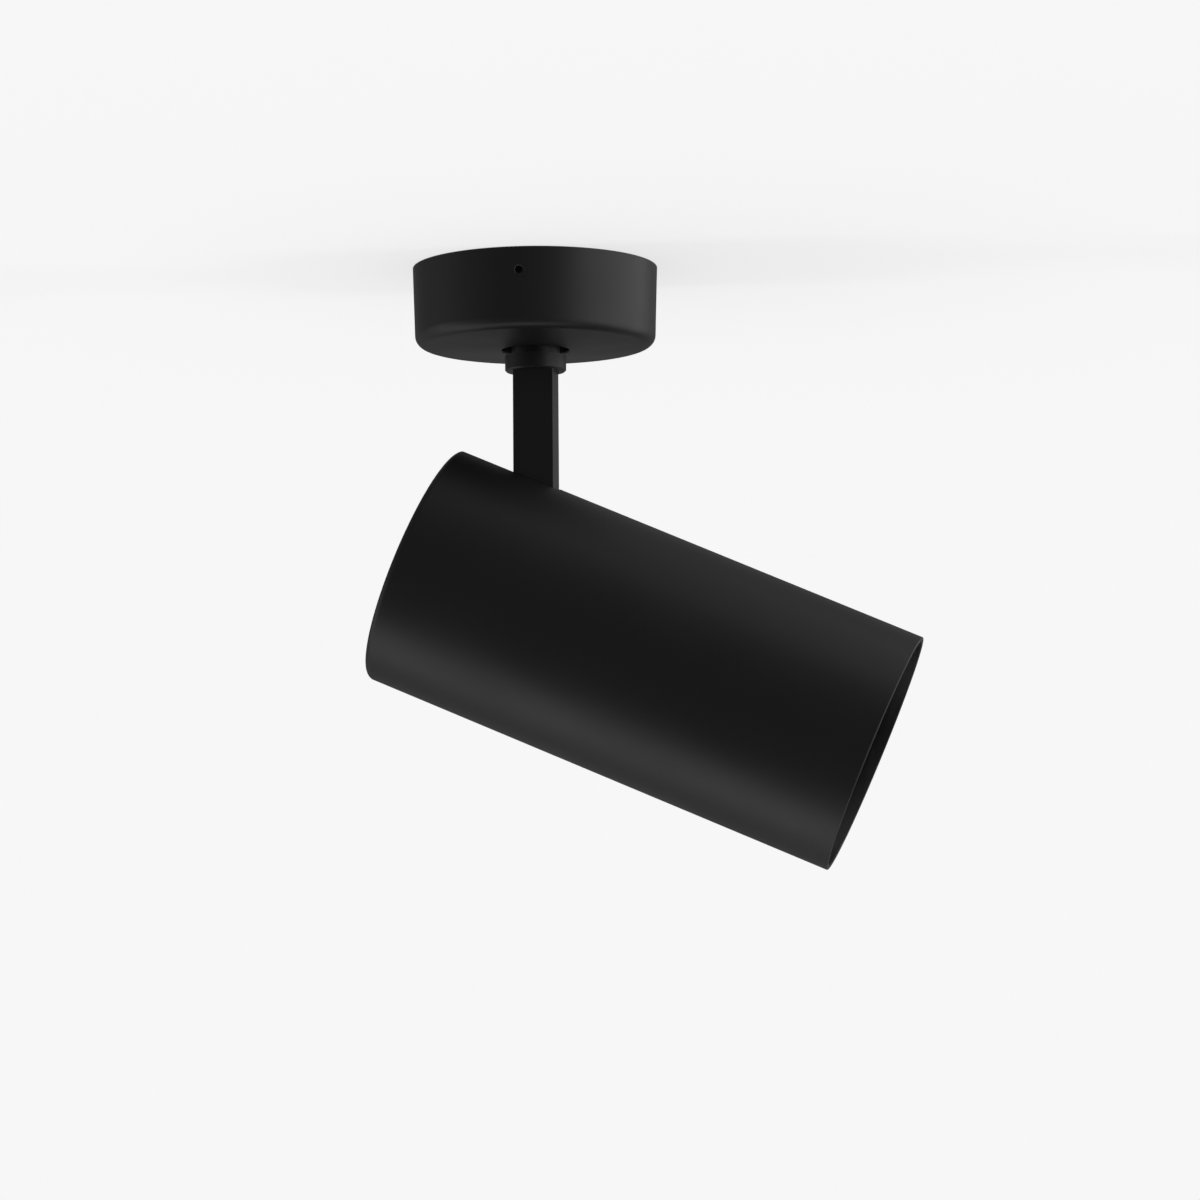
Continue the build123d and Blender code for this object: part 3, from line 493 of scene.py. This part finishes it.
def shoulder_screw(face, tip):
    """Half of the tilt axle: a wide flat head, a smooth shoulder and a thinner thread."""
    head, shoulder, thread, across = 5.2 * MM, 3.0 * MM, 2.5 * MM, 4.0 * MM
    height, crown, foot, socket = 3.0 * MM, 0.8 * MM, 0.3 * MM, 1.8 * MM
    under_head = face - height
    thread_start = span("arm_bar")[1].y
    mesh = open_turn([(SOCKET_ROOM * across, face), (head, face), (head, under_head), (shoulder, under_head),
                      (shoulder, thread_start), (thread, thread_start), *shank_end(thread, tip)],
                     [(1, crown), (2, foot)])
    return add_socket(mesh, across, face, socket)


def grub_screw(face, tip):
    radius, across, edge, socket = 1.5 * MM, 1.5 * MM, 0.2 * MM, 1.6 * MM
    mesh = open_turn([(SOCKET_ROOM * across, face), (radius - edge, face), (radius, face - edge),
                      *shank_end(radius, tip)])
    return add_socket(mesh, across, face, socket)


def show_screws(node, make, size, place):
    """Detailed screws where the CAD node has plain ones. Their heads face +Z of the place."""
    boxes = islands(node, place)
    low, high = boxes[0]
    head = 0 if make is flat_screw else size[2]
    middles = [(box[0] + box[1]) / 2 for box in boxes]
    seats = [place @ Matrix.Translation((middle.x, middle.y, high.z - head)) for middle in middles]
    stand_for(node, repeat(make(size, high.z - low.z - head), seats))


def show_pair(node, make):
    """Two pieces that face away from each other along Y, made from the Y of their outer and inner ends."""
    low, high = islands(node)[1]
    middle = (low + high) / 2
    seats = [aim(Matrix.Translation((middle.x, 0, middle.z)), (0, side, 0)) for side in (-1, 1)]
    stand_for(node, repeat(make(high.y, low.y), seats))


def disc_spring(outer_end, inner_end):
    """Coned washer under the head of a shoulder screw."""
    bore, rim, sheet = 3.1 * MM, 5.2 * MM, 0.45 * MM
    return turn([(bore, outer_end - sheet), (rim, inner_end), (rim, inner_end + sheet), (bore, outer_end)],
                steps=SCREW_STEPS)


def hexagon_nut(across, bore, height):
    """A nut round the origin with chamfered edges."""
    mesh = bmesh.new()
    bmesh.ops.create_cone(mesh, segments=6, radius1=across / sqrt(3), radius2=across / sqrt(3), depth=height)
    outside, rims = list(mesh.edges), []
    for level in (-height / 2, height / 2):
        hexagon = [edge for edge in outside if all(abs(vert.co.z - level) < TOUCH for vert in edge.verts)]
        circle = bmesh.ops.create_circle(mesh, segments=SCREW_STEPS, radius=bore,
                                         matrix=Matrix.Translation((0, 0, level)))["verts"]
        rim = list({edge for vert in circle for edge in vert.link_edges})
        bmesh.ops.bridge_loops(mesh, edges=hexagon + rim)
        rims += rim
    bmesh.ops.bridge_loops(mesh, edges=rims)
    bmesh.ops.recalc_face_normals(mesh, faces=mesh.faces)
    bevel(mesh, outside, NUT_EDGE, 3)
    return mesh


def show_nut(node):
    low, high = span(node)
    nut = hexagon_nut(high.y - low.y, NUT_BORE, high.z - low.z)
    bmesh.ops.translate(nut, verts=nut.verts, vec=(low + high) / 2)
    stand_for(node, nut)


def show_wave_washer():
    """Thin spring sheet in three waves that fill the height of the CAD washer."""
    low, high = span("wave_washer")
    bore, sheet, waves = 5.2 * MM, 0.4 * MM, 3
    mesh = turn([(bore, low.z), (high.x, low.z), (high.x, low.z + sheet), (bore, low.z + sheet)])
    rise = high.z - low.z - sheet
    for vert in mesh.verts:
        vert.co.z += rise * (0.5 + 0.5 * sin(waves * atan2(vert.co.y, vert.co.x)))
    stand_for("wave_washer", mesh)


# ---------------------------------------------------------------- light engine, optics and cores
def show_turned(node, profile, rounds=(), sharp=SHARP, steps=TURN_STEPS):
    """A piece turned about the axis of the lamp tube."""
    mesh = turn(profile, rounds, steps)
    mesh.transform(BORE)
    stand_for(node, mesh, sharp=sharp)


def show_reflector():
    """A parabola of flat facets with a thin wall behind it."""
    low, high = span("reflector", BORE)
    wall, flange, flange_depth = 1.0 * MM, 2.0 * MM, 1.2 * MM
    rear, front, depth = 9.8 * MM, high.y - flange, high.z - low.z
    rings, sectors = 11, 36
    shares = [i / rings for i in range(rings + 1)]
    curve = [(sqrt(rear ** 2 + (front ** 2 - rear ** 2) * share), low.z + depth * share) for share in shares]
    rim = [(high.y, high.z), (high.y, high.z - flange_depth), (front + wall, high.z - flange_depth)]
    behind = [(radius + wall, height) for radius, height in curve if height < high.z - flange_depth]
    show_turned("reflector", curve + rim + behind[::-1], sharp=1, steps=sectors)


def show_emitter():
    """A round pool of phosphor with a low dam round it."""
    low, high = span("led_emitter", BORE)
    rim, dam, dip, edge = high.y, 0.7 * MM, 0.2 * MM, 0.15 * MM
    profile = [(0, low.z), (rim, low.z), (rim, high.z), (rim - dam, high.z), (rim - 1.5 * dam, high.z - dip),
               (0, high.z - dip / 2)]
    show_turned("led_emitter", profile, [(2, edge), (3, edge)])


def show_glass():
    low, high = span("front_glass", BORE)
    edge = 0.4 * MM
    profile = [(0, low.z), (high.y, low.z), (high.y, high.z), (0, high.z)]
    show_turned("front_glass", profile, [(1, edge), (2, edge)])


def show_baffle():
    """A black ring with fine ribs that widens towards the mouth."""
    low, high = span("glare_baffle", BORE)
    glass_radius, seat = span("front_glass", BORE)[1].y, span("optic_sleeve", BORE)[1].z
    ribs, land, groove = 11, 0.6, 0.45 * MM
    lap, wall, rim, collar, edge = 5.5 * MM, 2.6 * MM, 1.5 * MM, 2.0 * MM, 0.3 * MM
    lip, mouth = glass_radius - lap, high.y - wall
    pitch, growth = (high.z - low.z) / (ribs - 1 + land), (mouth - lip) / (ribs - 1)
    profile = []
    for i in range(ribs):
        radius, height = lip + growth * i, low.z + pitch * i
        ledge = height + pitch * land
        profile += [(radius, height), (radius, ledge), (radius + growth + groove, ledge)]
    outside = [(mouth + rim, high.z), (high.y, seat + collar), (high.y, seat), (glass_radius, seat),
               (glass_radius, low.z)]
    front = len(profile) - 1
    show_turned("glare_baffle", profile[:-1] + outside, [(front, edge), (front + 1, edge)])


CORES = {
    "core_brown": (0.16, 0.055, 0.022),
    "core_blue": (0.030, 0.095, 0.42),
    "core_green": (0.045, 0.26, 0.055),
}
CORE_LEVELS = (-6.1 * MM, -4.4 * MM, -2.7 * MM)
CORE_RADIUS = 0.75 * MM
CORE_PITCH = 1.8 * MM          # between the cores in the stem


def block_entry():
    """Y of the terminal block's near face and Z of the middle of its holes."""
    low, high = span("terminal_block")
    drop = 0.25 * MM           # from the block's middle to the holes
    return low.y, (low.z + high.z) / 2 - drop


def show_cores():
    """Three coloured cores from the stem to the terminal block."""
    (face, middle), stem_top = block_entry(), span("swivel_hub")[1].z
    poles = [(low.x + high.x) / 2 for low, high in islands("terminal_screws")][::2]
    for i, ((name, colour), level, pole) in enumerate(zip(CORES.items(), CORE_LEVELS, poles)):
        start = (1 - i) * CORE_PITCH
        route = [(start, 0, stem_top - 0.1 * MM), (start, 0, level), (pole, face - 9 * MM, level),
                 (pole, face - 3 * MM, middle), (pole, face + 2 * MM, middle)]
        line = bpy.data.curves.new(name, "CURVE")
        line.dimensions, line.bevel_depth, line.use_fill_caps = "3D", CORE_RADIUS, True
        spline = line.splines.new("NURBS")
        spline.points.add(len(route) - 1)
        for point, place in zip(spline.points, route):
            point.co = (*place, 1)
        spline.order_u, spline.use_endpoint_u = 3, True
        holder = bpy.data.objects.new(name, line)
        mesh = bmesh.new()
        mesh.from_mesh(holder.to_mesh())
        bpy.data.objects.remove(holder)
        stand_for("canopy_leads", mesh, name, grained(name, colour, **CORE_GRAIN))


# ---------------------------------------------------------------- studio
PALE = 0.930                   # the background grey of the photo, as light
DAYLIGHT = 0.80                # what the world lights matt surfaces with
CEILING_GAP = 0.2 * MM
CEILING_PAINT = 0.30           # what the ceiling throws back of its light; the rest of its white is a glow
CEILING_REACH = 6.0
CEILING_FADE = (0.7, 1.6)      # it fades into the background between these distances
LAMPS = {                      # azimuth, degrees below the level, share of white, width in degrees
    "left_lamp": (180, 12, 0.10, 12),
    "right_lamp": (0, 20, 0.10, 16),
}
UNDER, BELOW, LEVEL, ABOVE = -60, -35, 0, 62     # elevations at which the cards meet
# The greys of the cards, with the top card's, are the rounded result of a least-squares fit of the
# render's tones to the photo's.
CARDS = {                      # first and last azimuth, first and last elevation, grey
    "right_card": (-45, 45, BELOW, ABOVE, 1.12),
    "back_card": (45, 135, BELOW, ABOVE, 0.19),
    "left_back_card": (135, 165, BELOW, LEVEL, 0.19),
    "left_card": (165, 195, BELOW, LEVEL, 0.90),
    "left_front_card": (195, 225, BELOW, LEVEL, 0.27),
    "left_high_card": (135, 225, LEVEL, ABOVE, 0.13),
    "front_card": (225, 315, BELOW, ABOVE, 0.10),
    "low_back_card": (-30, 150, UNDER, BELOW, 0.20),
    "low_front_card": (210, 330, UNDER, BELOW, 0.0),
}
TOP_CARD_GREY = 0.18
CARD_DISTANCE = 3.0
CARD_STEPS = 24


def make_world():
    world = bpy.data.worlds.new("studio")
    bpy.context.scene.world = world
    world.use_nodes = True
    tree = world.node_tree
    background = tree.nodes["Background"]
    set_inputs(background, {"Color": (1, 1, 1, 1)})
    path = put(tree, "ShaderNodeLightPath")
    seen = math_node(tree, "MAXIMUM", path.outputs["Is Camera Ray"], path.outputs["Is Glossy Ray"])
    seen = math_node(tree, "MAXIMUM", seen, path.outputs["Is Transmission Ray"])
    wire(tree, (spread(tree, seen, DAYLIGHT, PALE, 0, 1), background.inputs["Strength"]))


def bare_material(name):
    """A material without its Principled shader, and the socket for another one."""
    material = bpy.data.materials.new(name)
    material.use_nodes = True
    tree = material.node_tree
    tree.nodes.clear()
    return material, tree, put(tree, "ShaderNodeOutputMaterial").inputs["Surface"]


def hide_from(thing, *rays):
    """Keep a lamp or a piece of the stage from these kinds of rays."""
    for ray in rays:
        setattr(thing, "visible_" + ray, False)


def make_sun(name, azimuth, below, share, softness):
    """A far lamp below the ceiling that adds this share of white to it, and throws the canopy's shadow."""
    data = bpy.data.lights.new(name, "SUN")
    data.energy = pi * share / sin(radians(below))
    data.angle = radians(softness)
    lamp = bpy.data.objects.new(name, data)
    around, down = radians(azimuth), radians(below)
    towards = Vector((cos(around) * cos(down), sin(around) * cos(down), -sin(down)))
    lamp.rotation_mode = "QUATERNION"
    lamp.rotation_quaternion = towards.to_track_quat("Z", "Y")
    hide_from(lamp, "glossy")
    bpy.context.scene.collection.objects.link(lamp)


def make_ceiling(lamp_share):
    """The ceiling that the canopy sits on. It is see-through from above, so that the back can be seen,
    and doesn't glow inside the canopy."""
    mesh = bmesh.new()
    bmesh.ops.create_grid(mesh, x_segments=1, y_segments=1, size=CEILING_REACH,
                          matrix=Matrix.Translation((0, 0, CEILING_GAP)))
    ceiling = link_mesh("ceiling", mesh)
    material, tree, surface = bare_material("ceiling_paint")
    paint = put(tree, "ShaderNodeBsdfDiffuse", {"Color": (*[CEILING_PAINT] * 3, 1)})
    glow = put(tree, "ShaderNodeEmission")
    both = put(tree, "ShaderNodeAddShader")
    clear = put(tree, "ShaderNodeBsdfTransparent")
    mix = put(tree, "ShaderNodeMixShader")
    length = put(tree, "ShaderNodeVectorMath", operation="LENGTH")
    wire(tree, (object_place(tree), length.inputs[0]))
    distance = length.outputs["Value"]
    behind_wall = span("canopy")[1].x - MM
    outside = math_node(tree, "GREATER_THAN", distance, behind_wall)
    white = PALE - CEILING_PAINT * (DAYLIGHT + lamp_share)
    above = math_node(tree, "SUBTRACT", 1.0, put(tree, "ShaderNodeNewGeometry").outputs["Backfacing"])
    hidden = math_node(tree, "MAXIMUM", spread(tree, distance, 0, 1, *CEILING_FADE), above)
    wire(tree, (math_node(tree, "MULTIPLY", outside, white), glow.inputs["Strength"]),
         (paint.outputs[0], both.inputs[0]), (glow.outputs[0], both.inputs[1]),
         (hidden, mix.inputs["Fac"]), (both.outputs[0], mix.inputs[1]), (clear.outputs[0], mix.inputs[2]),
         (mix.outputs[0], surface))
    ceiling.data.materials.append(material)
    hide_from(ceiling, "diffuse", "shadow", "glossy", "transmission")


def sweep_card(name, start, end, first, last, grey):
    """A plain panel that only reflections see: a line between two points, drawn at azimuth 0, sweeps it
    from one azimuth to the other."""
    mesh = bmesh.new()
    edge = mesh.edges.new((mesh.verts.new(first), mesh.verts.new(last)))
    bmesh.ops.rotate(mesh, verts=mesh.verts, matrix=Matrix.Rotation(radians(start), 3, "Z"))
    bmesh.ops.spin(mesh, geom=[edge, *edge.verts], axis=(0, 0, 1), angle=radians(end - start),
                   steps=CARD_STEPS, use_merge=end - start == 360)
    card = link_mesh(name, mesh)
    material, tree, surface = bare_material(name + "_paint")
    wire(tree, (put(tree, "ShaderNodeEmission", {"Strength": grey}).outputs[0], surface))
    card.data.materials.append(material)
    hide_from(card, "camera", "diffuse", "shadow", "transmission")


def make_card(name, start, end, low, high, grey):
    """A curved card round the object, between two azimuths and two elevations in degrees."""
    foot, head = (CARD_DISTANCE * tan(radians(elevation)) for elevation in (low, high))
    sweep_card(name, start, end, (CARD_DISTANCE, 0, foot), (CARD_DISTANCE, 0, head), grey)


def make_top_card(grey):
    """A round card that closes the ring of cards above, but for a pinhole on the axis."""
    height = CARD_DISTANCE * tan(radians(ABOVE))
    sweep_card("top_card", 0, 360, (MM, 0, height), (CARD_DISTANCE, 0, height), grey)


def make_studio():
    """Pale room with dark and bright cards, which draw the soft bands on the black coat."""
    make_world()
    for name, numbers in LAMPS.items():
        make_sun(name, *numbers)
    make_ceiling(sum(share for _, _, share, _ in LAMPS.values()))
    for name, numbers in CARDS.items():
        make_card(name, *numbers)
    make_top_card(TOP_CARD_GREY)


# ---------------------------------------------------------------- the whole object
finishes = make_finishes()
for name, node in frame["nodes"].items():
    for slot in node.material_slots:
        slot.material = finishes[SLOT_OF[name]]

show_pair("canopy_grub_screws", grub_screw)
show_pair("pivot_screws", shoulder_screw)
show_pair("pivot_spring_washers", disc_spring)
DOWN, FAR_SIDE = aim(UPRIGHT, (0, 0, -1)), aim(UPRIGHT, (0, 1, 0))
REAR, NEAR_SIDE = aim(HEAD, (-1, 0, 0)), aim(HEAD, (0, -1, 0))
for name, make, size, place in (
        ("bridge_screws", pan_screw, M4, DOWN), ("earth_screw", pan_screw, M4, DOWN),
        ("terminal_block_screw", pan_screw, M3, DOWN), ("arm_screw", flat_screw, M3, FAR_SIDE),
        ("chassis_screws", flat_screw, M4, REAR), ("heat_sink_screws", pan_screw, M3, REAR),
        ("driver_screws", pan_screw, M3, NEAR_SIDE), ("led_holder_screws", flat_screw, M3, BORE),
        ("optic_sleeve_screws", pan_screw, M3, BORE)):
    show_screws(name, make, size, place)
for name in ("swivel_nut", "lock_nut"):
    show_nut(name)
show_wave_washer()
show_reflector()
show_emitter()
show_glass()
show_baffle()
show_cores()

make_studio()
make_camera()
bpy.context.scene.view_settings.view_transform = "Standard"
